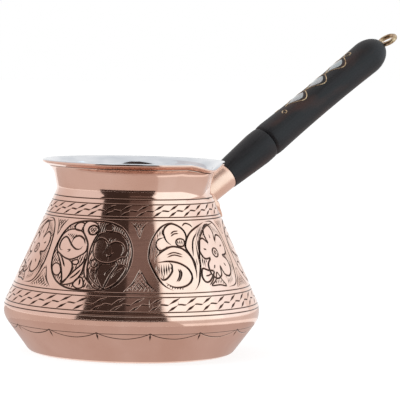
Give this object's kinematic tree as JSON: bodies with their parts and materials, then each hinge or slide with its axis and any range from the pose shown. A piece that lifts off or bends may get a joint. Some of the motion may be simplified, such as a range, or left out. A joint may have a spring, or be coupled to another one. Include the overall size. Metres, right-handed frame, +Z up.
{
  "type": "turkish coffee pot cezve",
  "caption": "Long-handled copper coffee pot with an engraved conical body, a tinned inside, a pouring lip and a turned wooden grip with a hanging eye.",
  "frame": {"origin": "centre of the flat base, on the pot's axis, at the level of the table", "axes": "+Z up along the pot's axis, +X under the handle; the pouring lip is 77 degrees clockwise of the handle, seen from above"},
  "size_m": [0.2152, 0.117, 0.1483],
  "materials": {
    "copper": "polished copper sheet",
    "rivet_copper": "hammered copper",
    "tin": "wiped tin",
    "wood": "dark stained and waxed",
    "pearl": "mother-of-pearl, ground flush",
    "brass": "drawn wire"
  },
  "bodies": {
    "root": {"pot_body": "copper", "tin_lining": "tin", "saddle_plate": "copper", "socket_tube": "copper", "saddle_rivets": "rivet_copper", "socket_nail": "brass", "wood_grip": "wood", "pearl_leaf_1": "pearl", "pearl_leaf_2": "pearl", "pearl_leaf_3": "pearl", "wire_near_side": "brass", "wire_far_side": "brass", "screw_eye": "brass"}
  },
  "joints": []
}
